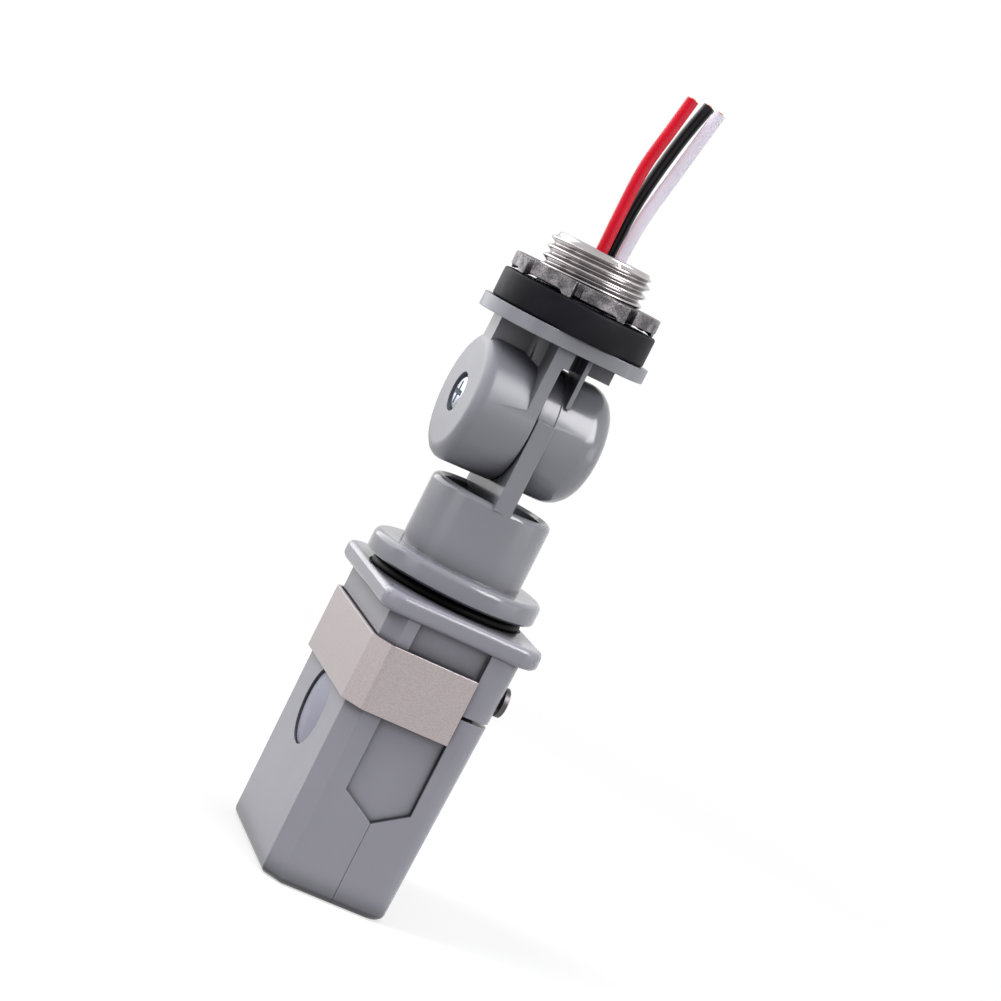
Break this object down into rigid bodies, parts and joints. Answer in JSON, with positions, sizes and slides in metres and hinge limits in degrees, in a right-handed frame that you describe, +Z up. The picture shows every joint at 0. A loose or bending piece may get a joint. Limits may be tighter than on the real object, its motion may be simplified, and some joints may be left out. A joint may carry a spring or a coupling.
{
  "type": "photocell switch",
  "caption": "Swivel-mounted photocell switch: moulded housing with a round light window and a metal level slide, on a two-part arm with a threaded conduit nipple.",
  "frame": {"origin": "on the neck's axis at the housing's flat bottom", "axes": "+Z up the neck towards the nipple, -X out of the light window, the swivel's axis along X"},
  "size_m": [0.0363, 0.0438, 0.163],
  "materials": {
    "housing_plastic": "fine satin moulded grey",
    "arm_plastic": "fine satin moulded grey",
    "frosted_lens": "frosted translucent plastic",
    "slide_metal": "satin bent sheet",
    "zinc_steel": "zinc plated",
    "die_cast_zinc": "rough cast zinc",
    "nipple_metal": "bright nickel plated thread",
    "black_rubber": "matt black rubber",
    "red_insulation": "smooth red insulation",
    "black_insulation": "smooth black insulation",
    "white_insulation": "smooth white insulation",
    "board_laminate": "green laminate",
    "cell_ceramic": "clear coated cadmium sulphide cell",
    "relay_case": "blue moulded case",
    "varistor_coat": "blue epoxy coat",
    "sleeve_black": "black sleeve or moulding",
    "resistor_coat": "beige coat"
  },
  "bodies": {
    "housing": {"front_housing": "housing_plastic", "rear_cover": "housing_plastic", "window_lens": "frosted_lens", "cover_screw_near": "zinc_steel", "cover_screw_far": "zinc_steel", "circuit_board": "board_laminate", "board_screw_near": "zinc_steel", "board_screw_far": "zinc_steel", "light_cell": "cell_ceramic", "relay": "relay_case", "surge_varistor": "varistor_coat", "filter_capacitor": "sleeve_black", "dropping_resistor": "resistor_coat", "rectifier_bridge": "sleeve_black"},
    "slide": {"level_slide": "slide_metal"},
    "knuckle": {"lower_arm": "arm_plastic", "o_ring": "black_rubber", "neck_retainer": "zinc_steel", "pivot_nut": "zinc_steel"},
    "stem": {"upper_arm": "arm_plastic", "pivot_screw": "zinc_steel", "pivot_washer": "zinc_steel", "conduit_nipple": "nipple_metal", "gasket": "black_rubber", "locknut": "die_cast_zinc", "red_wire": "red_insulation", "black_wire": "black_insulation", "white_wire": "white_insulation"}
  },
  "joints": [
    {"name": "slide_level", "type": "slide", "parent": "housing", "child": "slide", "axis": [0, 0, 1], "range_m": [-0.014, 0.004]},
    {"name": "neck_turn", "type": "hinge", "parent": "housing", "child": "knuckle", "pos_m": [0, 0, 0.0606], "axis": [0, 0, 1], "range_deg": [-165, 165]},
    {"name": "tilt", "type": "hinge", "parent": "knuckle", "child": "stem", "pos_m": [0, 0, 0.0944], "axis": [1, 0, 0], "range_deg": [-90, 90]}
  ]
}
